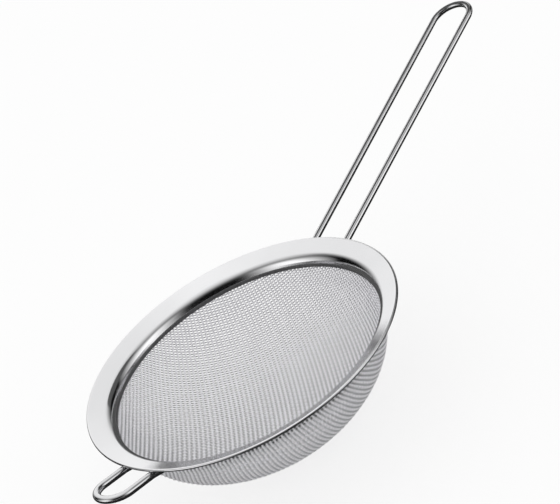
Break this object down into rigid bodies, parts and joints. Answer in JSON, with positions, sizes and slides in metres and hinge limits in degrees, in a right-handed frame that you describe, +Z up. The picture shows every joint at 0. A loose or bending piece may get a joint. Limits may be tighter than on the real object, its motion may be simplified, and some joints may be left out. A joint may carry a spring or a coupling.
{
  "type": "tea strainer",
  "caption": "Round tea strainer with a domed bowl of woven wire cloth in a pressed steel rim, a long wire loop handle and a short wire rest on the far side.",
  "frame": {"origin": "centre of the rim, level with the middle of its rolled edge", "axes": "+Z up out of the mouth, +X towards the long handle, the rest loop on -X"},
  "size_m": [0.2011, 0.092, 0.0503],
  "materials": {
    "polished_rim": "polished stainless steel sheet",
    "dull_hoop": "dull stainless steel strip",
    "wire_cloth": "bright woven stainless steel wire",
    "polished_wire": "polished stainless steel wire",
    "weld": "spot weld, dull"
  },
  "bodies": {
    "root": {"rim_flange": "polished_rim", "mesh_hoop": "dull_hoop", "mesh_bowl": "wire_cloth", "handle_wire": "polished_wire", "rest_wire": "polished_wire", "handle_welds": "weld", "rest_welds": "weld"}
  },
  "joints": []
}
